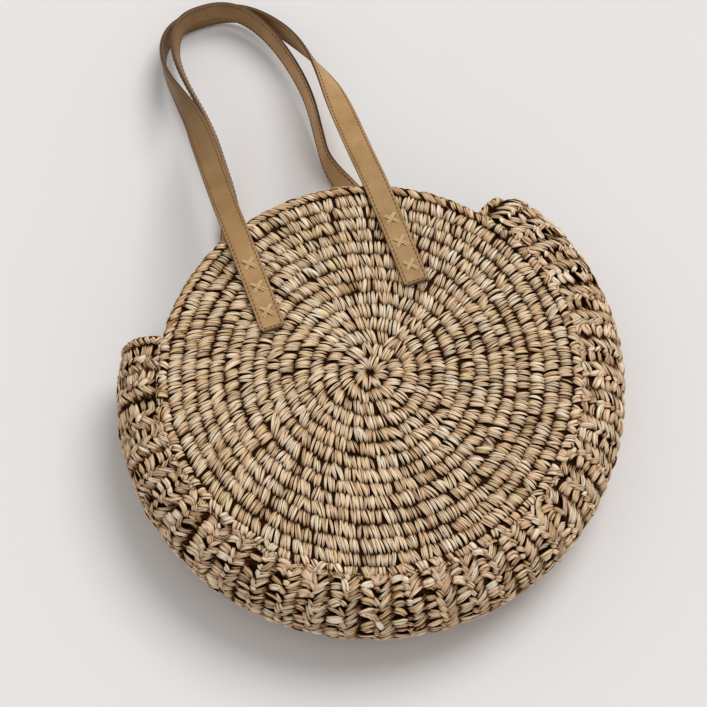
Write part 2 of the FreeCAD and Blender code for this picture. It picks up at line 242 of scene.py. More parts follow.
def strawGroup():
    inputs = {
        "Pale": screen(255, 248, 232),
        "Mid": screen(255, 234, 205),
        "Deep": screen(240, 209, 173),
        # colour of the painted shade in the gaps and on the ground behind the stitches
        "Shade": screen(44, 20, 2),
        "Streaks": 0.5,
        "Painted Gap Shade": 1.0,
    }
    tree, given, out = newGroup("strawFibre", inputs, ["Color", "Roughness", "Height"])
    along, around, tone = split(tree, attribute(tree, "strand", "Vector"))
    depth = attribute(tree, "depth", "Fac")
    other = maths(tree, "MULTIPLY", tone, strawFibre["strandStep"])

    def drawnOut(waves):
        lines = [maths(tree, "MULTIPLY", along, waves[0]), maths(tree, "MULTIPLY", around, waves[1]), other]
        return addNode(tree, "ShaderNodeCombineXYZ", dict(enumerate(lines))).outputs[0]

    fibre = noise(tree, drawnOut(strawFibre["streakWaves"]), 1.0, 3.0, Roughness=0.6)
    folds = noise(tree, drawnOut(strawFibre["foldWaves"]), 1.0, 1.0)
    # tones run from deep through mid to pale
    toMid = maths(tree, "MULTIPLY", tone, 2.0, clamp=True)
    shade = mixColours(tree, "MIX", toMid, given["Deep"], given["Mid"])
    toPale = maths(tree, "MAXIMUM", maths(tree, "MULTIPLY_ADD", tone, 2.0, -1.0), 0.0, clamp=True)
    shade = mixColours(tree, "MIX", toPale, shade, given["Pale"])
    chance = addNode(tree, "ShaderNodeTexWhiteNoise", {"W": tone}, noise_dimensions="1D").outputs["Value"]
    olive = maths(tree, "GREATER_THAN", chance, 1 - strawFibre["oddShare"])
    rose = maths(tree, "LESS_THAN", chance, strawFibre["oddShare"])
    for picked, tint in ((olive, "olive"), (rose, "rose")):
        share = maths(tree, "MULTIPLY", picked, strawFibre["oddTint"])
        shade = mixColours(tree, "MULTIPLY", share, shade, strawFibre[tint])
    streaks = ramp(tree, fibre, strawFibre["streakShades"])
    shade = mixColours(tree, "MULTIPLY", given["Streaks"], shade, streaks)
    # painted shade: darker and warmer where strands dive or turn away, turning to the Shade colour in the
    # gaps
    shade = mixColours(tree, "MULTIPLY", 1.0, shade, ramp(tree, depth, strawFibre["paintedShadeTints"]))
    paintedShade = ramp(tree, depth, strawFibre["paintedGapShades"])
    gap = maths(tree, "MULTIPLY", paintedShade, given["Painted Gap Shade"], clamp=True)
    shade = mixColours(tree, "MIX", gap, shade, given["Shade"])
    rough = mapped(tree, fibre, strawFibre["roughness"])
    height = maths(tree, "MULTIPLY_ADD", folds, strawFibre["foldHeight"], fibre)
    return putOut(tree, out, Color=shade, Roughness=rough, Height=height)


# leather: fine pebble grain, cloudy dye, darker and smoother at the burnished edges, with painted shade over
# the top of the loop and down the left leg
hide = {
    "strapLength": 0.75,
    "clouds": 38.0,  # noise waves in a metre
    "wrinkles": 420.0,
    "wrinkleWarp": 0.8,
    "cloudShares": [(0.32, 0.0), (0.68, 1.0)],
    "poreShades": [(0.3, (0.82, 0.80, 0.77)), (0.5, 1.0)],
    "poreShare": 0.6,
    # painted shade over the top of the loop and down the left leg
    "paintedShadeAlongStrap": [  # darker from the top of the loop down the left leg
        (0.12, 0.88), (0.22, 0.98), (0.33, 1.0),
        (0.42, (0.60, 0.57, 0.51)), (0.50, (0.52, 0.49, 0.43)), (0.68, (0.44, 0.40, 0.33)),
        (0.80, (0.54, 0.51, 0.42)), (0.87, (0.74, 0.71, 0.63)), (0.95, (0.94, 0.93, 0.90)),
    ],
    "wearShares": [(0.0, 0.0), (0.55, 0.18), (1.0, 1.0)],
    "roughness": (0.0, 0.8, 0.46, 0.62),
    "wrinkleHeight": 0.8,
    "pebbleHeight": -0.7,
}


def leatherGroup():
    inputs = {
        "Dye": screen(184, 146, 95),
        "Dark Dye": screen(162, 124, 75),
        "Edge": screen(84, 56, 32),
        "Grain Size": 1400.0,
    }
    tree, given, out = newGroup("leatherGrain", inputs, ["Color", "Roughness", "Height"])
    lie = attribute(tree, "strapPlace", "Vector")
    edge = attribute(tree, "strapEdge", "Fac")
    grain = {"Vector": lie, "Scale": given["Grain Size"]}
    pebble = addNode(tree, "ShaderNodeTexVoronoi", grain, feature="SMOOTH_F1").outputs[0]
    wrinkle = noise(tree, lie, hide["wrinkles"], 3.0, Distortion=hide["wrinkleWarp"])
    clouds = ramp(tree, noise(tree, lie, hide["clouds"], 4.0), hide["cloudShares"])
    colour = mixColours(tree, "MIX", clouds, given["Dark Dye"], given["Dye"])
    pores = ramp(tree, wrinkle, hide["poreShades"])
    colour = mixColours(tree, "MULTIPLY", hide["poreShare"], colour, pores)
    length = maths(tree, "DIVIDE", split(tree, lie)[0], hide["strapLength"])
    # painted shade: darker over the top of the loop and down the left leg
    colour = mixColours(tree, "MULTIPLY", 1.0, colour, ramp(tree, length, hide["paintedShadeAlongStrap"]))
    colour = mixColours(tree, "MIX", ramp(tree, edge, hide["wearShares"]), colour, given["Edge"])
    rough = mapped(tree, pebble, hide["roughness"])
    dents = maths(tree, "MULTIPLY", pebble, hide["pebbleHeight"])
    height = maths(tree, "MULTIPLY_ADD", wrinkle, hide["wrinkleHeight"], dents)
    return putOut(tree, out, Color=colour, Roughness=rough, Height=height)


# sewing thread: plies that wind round its length, with painted shade in the grooves between them
twine = {
    "plies": 2.0,
    "plyShares": [(0.05, 0.0), (0.45, 1.0)],
    "fuzz": 700.0,
    "fuzzShades": [(0.3, (0.7, 0.68, 0.66)), (0.6, 1.0)],
    "fuzzShare": 0.35,
}


def threadGroup():
    inputs = {"Thread": screen(128, 92, 54), "Painted Ply Shade": screen(74, 48, 24), "Turns": 900.0}
    tree, given, out = newGroup("threadTwist", inputs, ["Color", "Height"])
    lie = attribute(tree, "strand", "Vector")
    parts = split(tree, lie)
    wound = maths(tree, "MULTIPLY", parts[0], given["Turns"])
    wound = maths(tree, "ADD", wound, maths(tree, "MULTIPLY", parts[1], twine["plies"]))
    wave = maths(tree, "SINE", maths(tree, "MULTIPLY", wound, 2 * math.pi))
    height = maths(tree, "MULTIPLY_ADD", wave, 0.5, 0.5)
    plies = ramp(tree, height, twine["plyShares"])
    # painted shade: the grooves between the plies take the darker colour
    colour = mixColours(tree, "MIX", plies, given["Painted Ply Shade"], given["Thread"])
    fuzz = ramp(tree, noise(tree, lie, twine["fuzz"], 2.0), twine["fuzzShades"])
    colour = mixColours(tree, "MULTIPLY", twine["fuzzShare"], colour, fuzz)
    return putOut(tree, out, Color=colour, Height=height)


# lining: plain weave cotton
weave = {"slubs": 90.0, "slubShades": [(0.3, (0.8, 0.79, 0.77)), (0.65, 1.0)], "slubShare": 0.5}


def cottonGroup():
    inputs = {"Warp": screen(206, 186, 156), "Weft": screen(184, 163, 132), "Threads": 1500.0}
    tree, given, out = newGroup("cottonWeave", inputs, ["Color", "Height"])
    lie = addNode(tree, "ShaderNodeTexCoord").outputs["Object"]
    x, y, z = split(tree, lie)
    ups = maths(tree, "SINE", maths(tree, "MULTIPLY", x, given["Threads"]))
    downs = maths(tree, "SINE", maths(tree, "MULTIPLY", maths(tree, "ADD", y, z), given["Threads"]))
    height = maths(tree, "MULTIPLY_ADD", maths(tree, "MULTIPLY", ups, downs), 0.5, 0.5)
    colour = mixColours(tree, "MIX", height, given["Weft"], given["Warp"])
    slubs = ramp(tree, noise(tree, lie, weave["slubs"], 3.0), weave["slubShades"])
    colour = mixColours(tree, "MULTIPLY", weave["slubShare"], colour, slubs)
    return putOut(tree, out, Color=colour, Height=height)


# what the finishes of each stuff have in common
stuffs = {
    "straw": {"group": strawGroup(), "relief": 0.0006, "shader": {"Specular IOR Level": 0.05}},
    "leather": {"group": leatherGroup(), "relief": 0.0003, "shader": {"Specular IOR Level": 0.4}},
    "thread": {
        "group": threadGroup(), "relief": 0.0002, "shader": {"Roughness": 0.7, "Specular IOR Level": 0.3},
    },
    "cotton": {
        "group": cottonGroup(), "relief": 0.0003, "shader": {"Roughness": 0.85, "Specular IOR Level": 0.2},
    },
}


def finish(name, stuff, values, bump):
    stuff = stuffs[stuff]
    made, tree, shader = newMaterial(name, stuff["shader"])
    placed = addNode(tree, "ShaderNodeGroup", values, node_tree=stuff["group"]).outputs
    tree.links.new(placed["Color"], shader.inputs["Base Color"])
    if "Roughness" in placed:
        tree.links.new(placed["Roughness"], shader.inputs["Roughness"])
    relief(tree, shader, placed["Height"], bump, stuff["relief"])
    return made


# snap: brushed brass with a few scuffs
brass = {
    "scuffs": 650.0,
    "shades": [(0.3, screen(150, 118, 66)), (0.55, screen(206, 174, 112)), (0.75, screen(222, 196, 140))],
    "roughness": (0.3, 0.7, 0.5, 0.28),
    "bump": 0.15,
    "relief": 0.0002,
}


def snapFinish():
    made, tree, shader = newMaterial("snapBrass", {"Metallic": 1.0})
    lie = addNode(tree, "ShaderNodeTexCoord").outputs["Object"]
    scuffs = noise(tree, lie, brass["scuffs"], 5.0, Roughness=0.7)
    tree.links.new(ramp(tree, scuffs, brass["shades"]), shader.inputs["Base Color"])
    tree.links.new(mapped(tree, scuffs, brass["roughness"]), shader.inputs["Roughness"])
    relief(tree, shader, scuffs, brass["bump"], brass["relief"])
    return made


# each finish's own values; a finish without any keeps its group's
panelStraw = {"Streaks": 1.0, "Painted Gap Shade": 1.6}
stripStraw = {
    "Pale": screen(255, 246, 228),
    "Mid": screen(251, 226, 199),
    "Deep": screen(226, 199, 168),
    "Streaks": 1.0,
    "Painted Gap Shade": 1.35,
}
edgingStraw = {"Pale": screen(255, 238, 212), "Mid": screen(240, 210, 174), "Streaks": 0.8}
backingHide = {"Dye": screen(205, 164, 114), "Dark Dye": screen(178, 136, 88), "Grain Size": 1100.0}
paleThread = {"Thread": screen(226, 198, 150), "Painted Ply Shade": screen(168, 134, 88), "Turns": 700.0}
pocketCotton = {"Warp": screen(198, 177, 146), "Weft": screen(176, 154, 122)}
finishes = {
    "panel": finish("strawPanel", "straw", panelStraw, bump=0.9),
    "strip": finish("strawStrip", "straw", stripStraw, bump=0.9),
    "edging": finish("strawEdging", "straw", edgingStraw, bump=0.7),
    "face": finish("leatherFace", "leather", {}, bump=0.35),
    "backing": finish("leatherBacking", "leather", backingHide, bump=0.35),
    "edgeThread": finish("edgeThread", "thread", {}, bump=0.5),
    "crossThread": finish("crossThread", "thread", paleThread, bump=0.5),
    "lining": finish("liningCotton", "cotton", {}, bump=0.3),
    "pocket": finish("pocketCotton", "cotton", pocketCotton, bump=0.3),
    "snap": snapFinish(),
}
print("finishes made:", len(finishes))

# mesh helpers

# sections round a strand, from its underside on: across, up, and how much light reaches there, painted into
# the colour as shade
ribbon = {
    "across": np.array([0.0, 0.75, 1.0, 0.62, 0.04, -0.58, -1.0, -0.75]),
    "up": np.array([-1.0, -0.7, 0.0, 0.95, 0.45, 0.9, 0.05, -0.7]),
    "light": np.array([0.0, 0.1, 0.28, 1.0, 0.5, 1.0, 0.28, 0.1]),
    "crease": 0.4,
}
plump = {
    "across": np.array([0.0, 0.75, 1.0, 0.70, 0.04, -0.66, -1.0, -0.75]),
    "up": np.array([-1.0, -0.7, 0.0, 0.90, 0.70, 0.86, 0.05, -0.7]),
    "light": np.array([0.0, 0.1, 0.28, 1.0, 0.7, 1.0, 0.28, 0.1]),
    "crease": 0.45,
}
cordTurn = 2 * math.pi * (np.arange(8) / 8 - 0.25)
roundCord = {"across": np.cos(cordTurn), "up": np.sin(cordTurn), "light": np.ones(8), "crease": 0.0}
creasing = {"acrossWaves": 97, "upWaves": 173, "upShare": 0.6}
toneLimits = (0.01, 0.99)
threadTones = (0.02, 0.98)
groundTone = 0.3


def gridQuads(rows, columns, closedRows=False, closedColumns=True):
    row = np.arange(rows if closedRows else rows - 1)[:, None]
    column = np.arange(columns if closedColumns else columns - 1)[None, :]
    here, above = row * columns, (row + 1) % rows * columns
    after = (column + 1) % columns
    return np.stack([here + column, here + after, above + after, above + column], axis=2).reshape(-1, 4)


def strands(centres, ups, halfWidth, halfThick, tone, depth, section=ribbon):
    # centres, ups: strands x points x 3; halfWidth, halfThick, depth: strands x points; tone: strands
    count, points = centres.shape[:2]
    sides = len(section["across"])
    runs = np.gradient(centres, axis=1)
    forward = unit(runs)
    right = unit(np.cross(ups, forward))
    over = np.cross(forward, right)
    across = np.repeat(section["across"][None, :], count, 0)
    up = np.repeat(section["up"][None, :], count, 0)
    # no two ribbons are creased alike
    crest = sides // 2
    across[:, crest] += section["crease"] * np.sin(tone * creasing["acrossWaves"])
    up[:, crest] += creasing["upShare"] * section["crease"] * np.sin(tone * creasing["upWaves"])
    ring = (
        centres[:, :, None, :]
        + right[:, :, None, :] * (across[:, None, :] * halfWidth[:, :, None])[..., None]
        + over[:, :, None, :] * (up[:, None, :] * halfThick[:, :, None])[..., None]
    )
    along = np.cumsum(np.linalg.norm(runs, axis=2), axis=1)
    lie = np.zeros((count, points, sides, 3))
    lie[..., 0] = along[:, :, None]
    lie[..., 1] = (np.arange(sides) / sides)[None, None, :]
    lie[..., 2] = tone[:, None, None]
    # painted light share kept in the depth attribute: lower values on the strand's sides, in its crease and
    # where it dives are painted shade
    paintedLight = depth[:, :, None] * section["light"][None, None, :]
    last = (points - 1) * sides
    caps = []
    for k in range(sides // 2 - 1):  # quads across each end
        low = [k, k + 1, sides - 2 - k, sides - 1 - k]
        caps.append(low[::-1])
        caps.append([last + v for v in low])
    quads = np.concatenate([gridQuads(points, sides), np.array(caps)])
    quads = (quads[None] + (np.arange(count) * points * sides)[:, None, None]).reshape(-1, 4)
    return {
        "points": ring.reshape(-1, 3),
        "quads": quads,
        "strand": lie.reshape(-1, 3),
        "depth": paintedLight.reshape(-1),
    }


def groundPart(points, closedColumns=True):
    # ground behind stitches, painted in the dark Shade colour as shade; points: rows x columns x 3, and the
    # last row meets the first
    rows, columns = points.shape[:2]
    lie = np.zeros((rows, columns, 3))
    lie[..., 0] = np.cumsum(np.linalg.norm(np.gradient(points, axis=1), axis=2), axis=1)
    lie[..., 1] = np.arange(rows)[:, None] / rows
    lie[..., 2] = groundTone
    return {
        "points": points.reshape(-1, 3),
        "quads": gridQuads(rows, columns, True, closedColumns),
        "strand": lie.reshape(-1, 3),
        "depth": np.zeros(rows * columns),
    }


def joined(parts):
    shift, quads = 0, []
    for part in parts:
        quads.append(part["quads"] + shift)
        shift += len(part["points"])
    together = {key: np.concatenate([part[key] for part in parts]) for key in ("points", "strand", "depth")}
    together["quads"] = np.concatenate(quads)
    return together


def randomTones(draws):
    return np.clip(draws, *toneLimits)


def addObject(name, data):
    made = bpy.data.objects.new(name, data)
    scene.collection.objects.link(made)
    return made


def makeObject(name, points, faces, finishName, attributes):
    mesh = bpy.data.meshes.new(name)
    mesh.from_pydata(points.reshape(-1, 3).tolist(), [], faces)
    for label, values in attributes.items():
        vector = values.ndim == 2
        layer = mesh.attributes.new(label, "FLOAT_VECTOR" if vector else "FLOAT", "POINT")
        layer.data.foreach_set("vector" if vector else "value", values.astype(np.float32).ravel())
    mesh.shade_smooth()
    mesh.update()
    mesh.materials.append(finishes[finishName])
    return addObject(name, mesh)


def strandObject(name, part, finishName):
    attributes = {"strand": part["strand"], "depth": part["depth"]}
    return makeObject(name, part["points"], part["quads"].tolist(), finishName, attributes)


def fitted(made, replaced):
    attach(made, "bag")
    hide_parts(replaced)
    print("piece", made.name, len(made.data.polygons), "faces")
    return made


# crocheted panels

disc = {
    "rounds": 14,
    "innerRounds": 10,
    "startRing": 0.004,
    "stitchWidth": 0.0090,
    "fewestStitches": 8,
    "stitchShift": 0.08,  # a stitch's place changes by this share of its width
    "legs": 3,
    "legShares": (0.6, 1.4),
    "fill": 1.04,
    "fillChange": 0.06,
    "bundle": 0.92,  # legs of a stitch lie this close together
    "drawnIn": 0.20,  # and draw together at their inner and outer ends
    "drawnInCurve": 1.5,
    "drawnOut": 0.12,
    "reach": 1.40,  # length of a stitch's leg as a share of the round's height
    "reachChange": 0.06,
    "lean": 13.0,  # legs lean this way round, less on the right side of the disc
    "leanByTurn": 9.0,
    "stitchLean": 8.0,
    "legLean": 5.0,
    "bow": 0.0004,
    "wander": ((0.0006, 3, 1.0), (0.0005, 7, 2.3)),  # size, waves in a round, turn between rounds
    "uneven": 0.0004,
    "leastRadius": 0.0022,
    "leastTurn": 0.6,  # legs fan out no more than at this share of the round's radius
    "dome": 0.0024,  # drop of the outer legs, for each squared share of the stitch
    "lift": 0.0004,
    "mostLift": 0.0003,
    "sag": 0.0006,
    "dive": 0.0047,
    "diveCurve": 2.3,
    "outerDive": 0.15,  # the outer end dives deeper by this share, the inner end less
    "roll": 40.0,
    "rollChange": 0.2,
    "innerTaper": 0.2,
    "outerTaper": 0.72,
    "outerTaperCurve": 1.3,
    "strandThick": 0.0021,
    "thickChange": 0.1,
    "thinEnds": 0.3,
    "points": 8,
    "coreGap": 0.0042,
    "coreHole": 0.0004,
    "coreOverhang": 0.001,
    "coreRings": 40,
    "coreTurns": 120,
    "tabLift": 0.0047,
    "tabMargin": 0.0006,
    "tabSlope": 0.006,
}
disc["pitch"] = (bag["panelRadius"] - disc["startRing"]) / disc["rounds"]


def panelRounds(roundNumbers, panel, rng):
    s = np.linspace(-1, 1, disc["points"])[None, :]  # along a leg, from its inner end to its outer end
    inner, outer = np.clip(-s, 0, 1), np.clip(s, 0, 1)
    spread = disc["bundle"] - disc["drawnIn"] * inner ** disc["drawnInCurve"] - disc["drawnOut"] * outer ** 2
    taper = 1 - disc["innerTaper"] * inner ** 4 - disc["outerTaper"] * outer ** disc["outerTaperCurve"]
    thin = 1 - disc["thinEnds"] * np.abs(s) ** 3
    made = []
    for number in roundNumbers:
        middle = disc["startRing"] + (number - 0.5) * disc["pitch"]
        count = max(disc["fewestStitches"], round(2 * math.pi * middle / disc["stitchWidth"]))
        width = 2 * math.pi * middle / count
        order = np.arange(count) + rng.uniform(0, 1) + rng.normal(0, disc["stitchShift"], count)
        owners = np.repeat(np.arange(count), disc["legs"])
        turn = (order * 2 * math.pi / count)[owners]
        total = len(owners)
        # legs of a stitch differ in width and share it out
        share = rng.uniform(*disc["legShares"], total)
        share = share / np.bincount(owners, share)[owners]
        places = np.cumsum(share) - share - owners + share / 2 - 0.5
        reach = disc["reach"] * disc["pitch"] / 2 * (1 + rng.normal(0, disc["reachChange"], total))
        lean = disc["lean"] - disc["leanByTurn"] * np.cos(turn)
        lean = lean + rng.normal(0, disc["stitchLean"], count)[owners]
        lean = lean + rng.normal(0, disc["legLean"], total)
        shift = np.tan(np.radians(lean)) * reach * panel["facing"]
        bow = rng.normal(0, disc["bow"], total)
        wander = sum(size * np.sin(waves * turn + step * number) for size, waves, step in disc["wander"])
        wander = wander + rng.normal(0, disc["uneven"], total)
        radius = np.maximum(middle + wander[:, None] + reach[:, None] * s, disc["leastRadius"])
        sideways = (places * width)[:, None] * spread + shift[:, None] * s + bow[:, None] * (1 - s ** 2)
        angle = turn[:, None] + sideways / np.maximum(radius, disc["leastTurn"] * middle)
        lift = rng.normal(0, disc["lift"], count)[owners] - disc["dome"] * places ** 2
        lift = np.minimum(lift - rng.uniform(0, disc["sag"], total), disc["mostLift"])
        sink = disc["dive"] * np.abs(s) ** disc["diveCurve"] * (1 + disc["outerDive"] * s) - lift[:, None]
        centres = aroundBag(radius, angle, inPanel(panel, radius, sink + disc["strandThick"] / 2))
        roll = np.radians(disc["roll"]) * places * 2 + rng.normal(0, disc["rollChange"], total)
        roll = roll[:, None, None]
        tangent = np.stack([-np.sin(angle), np.cos(angle), np.zeros_like(angle)], axis=2)
        ups = tangent * np.sin(roll) + np.array([0, 0, panel["facing"]]) * np.cos(roll)
        halfWidth = disc["fill"] * width * share / 2 * rng.normal(1, disc["fillChange"], total)
        halfThick = disc["strandThick"] / 2 * thin * rng.normal(1, disc["thickChange"], total)[:, None]
        tone = randomTones((rng.uniform(0, 1, count)[owners] + rng.uniform(0, 1, total)) / 2)
        # how far the leg sinks, which the straw finish paints as shade
        depth = np.clip(1 - sink / disc["dive"], 0, 1)
        made.append(strands(centres, ups, halfWidth[:, None] * taper, halfThick, tone, depth, plump))
    return joined(made)


def panelGround(panel):
    radii = np.linspace(disc["coreHole"], bag["panelRadius"] + disc["coreOverhang"], disc["coreRings"])
    outer = np.stack([radii, inPanel(panel, radii, disc["coreGap"])], axis=1)
    inner = np.stack([radii, inPanel(panel, radii, bag["panelThickness"] - bag["groundInset"])], axis=1)
    profile = np.concatenate([outer, inner[::-1]])
    return groundPart(turnedGrid(profile[:: panel["facing"]], disc["coreTurns"]))


def overTabs(part):
    # the back panel's stitches lie over the strap ends, which are between them and the floor
    points, thick = part["points"], bag["panelThickness"]
    margin, slope = disc["tabMargin"], disc["tabSlope"]
    for sign in (-1, 1):
        sideGap = np.abs(points[:, 0] - sign * bag["strapSpacing"] / 2) - bag["strapWidth"] / 2 - margin
        tipGap = bag["tabTip"] - points[:, 1] - margin
        share = (1 - ease(sideGap / slope)) * ease(1 - tipGap / slope)
        squeezed = disc["tabLift"] + np.clip(points[:, 2], 0, None) * (thick - disc["tabLift"]) / thick
        points[:, 2] += share * np.clip(squeezed - points[:, 2], 0, None)


rng = np.random.default_rng(11)
for name, panel in panels.items():
    parts = {
        "ground": panelGround(panel),
        "inner_rounds": panelRounds(range(1, disc["innerRounds"] + 1), panel, rng),
        "outer_rounds": panelRounds(range(disc["innerRounds"] + 1, disc["rounds"] + 1), panel, rng),
    }
    for label, part in parts.items():
        if name == "back":
            overTabs(part)
        fitted(strandObject(name + "_panel_" + label, part, "panel"), name + "_panel")

# ribbed side strip

strip = {
    "ribs": 33,
    "stitches": 17,
    "ribShift": 0.05,  # changes of place, as shares of a rib and of a row
    "rowShift": 0.22,
    "stitchShift": 0.08,
    "strandWidth": 0.0036,
    "widthShares": (0.75, 1.25),
    "strandThick": 0.0030,
    "thickChange": 0.1,
    "taper": 0.5,
    "taperCurve": 2.5,
    "lengthChange": 0.12,
    "middleChange": 0.035,
    "tiltChange": 0.26,
    "bowChange": 0.15,
    "legsDraw": 0.25,  # legs of an arm draw together by this share at their ends
    "hookFrom": 0.35,
    "overEnd": 0.03,  # strands may pass the strip's edges by this angle
    "dive": 0.0023,
    "ribRelief": 0.0006,
    "dropped": 0.006,  # share of strands that sit deep and leave a hole
    "droppedBy": 0.0012,
    "uneven": 0.0010,
    "crest": 0.0006,
    "legRoll": 0.3,
    "rollChange": 0.3,
    "points": 7,
    "sag": 0.010,  # the strip hangs open at its right end
    "sagFrom": 0.70,
    "sagBack": 3.0,  # and its edge slopes back, in radians for each metre of sag
    "coreGap": 0.0046,
    "coreColumns": 138,
    "coreRows": 26,
    "corePinch": 0.0004,
    "underEdge": 1.0,  # the ground reaches this many degrees under the end edging
}
stripOuter = bag["stripArc"] + bag["stripThickness"] / 2


def arcEnd(lift):
    # where an arc of the strip meets the edge of the bag, as an angle up from its middle
    return math.asin(math.sqrt(lift ** 2 - (bag["edgeRadius"] - bag["stripCentre"]) ** 2) / lift)


stripEnd = arcEnd(stripOuter)


def stripPlace(angle, lift, arcAngle):
    # angle round the bag, arcAngle up from the middle of the strip, lift from the centre of its arc
    turned = (np.degrees(angle) - bag["stripStart"]) / bag["stripSweep"]
    sag = strip["sag"] * ease((turned - strip["sagFrom"]) / (1 - strip["sagFrom"]))
    sag = sag * np.clip((np.cos(arcAngle) - math.cos(stripEnd)) / (1 - math.cos(stripEnd)), 0, 1)
    radius = bag["stripCentre"] + sag + lift * np.cos(arcAngle)
    return aroundBag(radius, angle - sag * strip["sagBack"], bag["midHeight"] + lift * np.sin(arcAngle))


def stripNormal(angle, arcAngle):
    return aroundBag(np.cos(arcAngle), angle, np.sin(arcAngle))


# the arms of a stitch in the side strip: middle and half length as shares of the rib; tilt, bow, hook,
# apart and up as rises in rows; legs, its strands; wide, a share of their width; low, their depth
arms = {
    "level": {
        "middle": -0.27, "half": 0.27, "tilt": 0.06, "bow": 0.25, "hook": -0.3,
        "legs": [0], "apart": 0.0, "wide": 1.75, "up": -0.05, "low": 0.0,
    },
    "curl": {
        "middle": 0.02, "half": 0.11, "tilt": -0.5, "bow": 0.1, "hook": 0.0,
        "legs": [0], "apart": 0.0, "wide": 1.4, "up": 0.1, "low": 0.0001,
    },
    "slant": {
        "middle": 0.29, "half": 0.25, "tilt": 0.75, "bow": 0.0, "hook": 0.0,
        "legs": [-1, 1], "apart": 0.24, "wide": 0.95, "up": 0.1, "low": 0.0,
    },
    "bridge": {
        "middle": 0.5, "half": 0.2, "tilt": 0.3, "bow": 0.0, "hook": 0.0,
        "legs": [-1, 1], "apart": 0.25, "wide": 0.95, "up": 0.3, "low": 0.0007,
    },
}
armLegs = [(name, leg) for name, arm in arms.items() for leg in arm["legs"]]


def stripRibs(ribNumbers, rng):
    s = np.linspace(-1, 1, strip["points"])[None, :]
    taper = 1 - strip["taper"] * np.abs(s) ** strip["taperCurve"]
    hooked = ease((s - strip["hookFrom"]) / (1 - strip["hookFrom"]))
    ribAngle = math.radians(bag["stripSweep"]) / strip["ribs"]
    pitch = 2 * stripEnd / strip["stitches"]
    total = strip["stitches"]
    limit = stripEnd + strip["overEnd"]
    made = []

    def changes(key):
        return rng.normal(0, strip[key], total)

    for rib in ribNumbers:
        start = math.radians(bag["stripStart"]) + (rib + 0.5 + rng.normal(0, strip["ribShift"])) * ribAngle
        rows = np.arange(total) + 0.5 + rng.normal(0, strip["rowShift"]) + changes("stitchShift")
        level = -stripEnd + rows * pitch
        for name, leg in armLegs:
            if name == "bridge" and rib + 1 == strip["ribs"]:  # no rib beyond the last to reach over to
                continue
            arm = arms[name]
            half = arm["half"] * rng.normal(1, strip["lengthChange"], total)
            ribShare = arm["middle"] + changes("middleChange")[:, None] + half[:, None] * s
            tilt = (arm["tilt"] + changes("tiltChange"))[:, None]
            bow = (arm["bow"] + changes("bowChange"))[:, None]
            rise = leg * arm["apart"] * (1 - strip["legsDraw"] * s ** 2) + tilt * s + bow * (1 - s ** 2)
            rise = rise + arm["up"] + arm["hook"] * hooked
            arcAngle = np.clip(level[:, None] + rise * pitch, -limit, limit)
            valley = strip["ribRelief"] * np.abs(2 * np.clip(ribShare, -0.5, 0.5)) ** 4
            dropped = np.where(rng.uniform(0, 1, total) < strip["dropped"], strip["droppedBy"], 0.0)
            low = arm["low"] + dropped + rng.uniform(0, strip["uneven"], total)
            sink = strip["dive"] * np.abs(s) ** 3 + valley + low[:, None]
            lift = stripOuter + strip["crest"] - strip["strandThick"] / 2 - sink
            angle = start + ribShare * ribAngle
            centres = stripPlace(angle, lift, arcAngle)
            upStrip = aroundBag(-np.sin(arcAngle), angle, np.cos(arcAngle))
            roll = (leg * strip["legRoll"] + changes("rollChange"))[:, None, None]
            ups = stripNormal(angle, arcAngle) * np.cos(roll) + upStrip * np.sin(roll)
            widths = rng.uniform(*strip["widthShares"], total)[:, None]
            wide = strip["strandWidth"] / 2 * arm["wide"] * widths
            thick = strip["strandThick"] / 2 * rng.normal(1, strip["thickChange"], total)[:, None]
            tone = randomTones(rng.uniform(0, 1, total))
            # how far the strand sinks, which the straw finish paints as shade
            depth = np.clip(1 - sink / (strip["dive"] + strip["ribRelief"]), 0, 1)
            made.append(strands(centres, ups, wide * taper, thick * taper, tone, depth, plump))
    return joined(made)


def stripGround():
    pinch, rows = strip["corePinch"], strip["coreRows"]
    shares = np.concatenate([[0], np.linspace(pinch, 1 - pinch, strip["coreColumns"]), [1]])
    reach = bag["stripSweep"] + 2 * strip["underEdge"]
    turns = np.radians(bag["stripStart"] - strip["underEdge"] + shares * reach)[None, :]
    arc = np.linspace(-stripEnd, stripEnd, rows)[:, None]
    outer = stripPlace(turns, stripOuter - strip["coreGap"], arc)
    inner = stripPlace(turns, bag["stripArc"] - bag["stripThickness"] / 2 + bag["groundInset"], arc)
    grid = np.concatenate([outer, inner[::-1]])
    # both ends are closed by pinching the last columns together
    middle = (outer + inner) / 2
    for column in (0, -1):
        grid[:rows, column] = middle[:, column]
        grid[rows:, column] = middle[::-1, column]
    return groundPart(grid[:, ::-1], closedColumns=False)


rng = np.random.default_rng(23)
third = strip["ribs"] // 3
stripParts = {"ground": stripGround()}
for number, place in enumerate(("left", "bottom", "right")):
    stripParts[place + "_ribs"] = stripRibs(range(number * third, (number + 1) * third), rng)
for label, part in stripParts.items():
    fitted(strandObject("side_strip_" + label, part, "strip"), "side_gusset")

# edgings and joining rounds: stitches that wrap over a round edge

wrap = {
    "strandThick": 0.0021,
    "thickChange": 0.1,
    "widthChange": 0.12,
    "taper": 0.4,
    "dive": 0.0022,
    "diveCurve": 2.6,
    "uneven": 0.0005,
    "pairing": 0.10,  # neighbours lean together in twos
    "placeChange": 0.12,
    "rowStart": 0.25,  # rows start here and half a stitch on, in turn
    "rollChange": 0.14,
    "scallop": 0.0005,
    "endGap": 0.0006,
    "points": 9,
    "coreDepth": 0.0020,
    "coreEndGap": 0.0004,
    "coreStep": 0.006,
    "fewestCoreSteps": 12,
    "overrun": 1.2,  # degrees that a seam runs on past the strip's end
    "fromStripEnd": 0.0002,
}
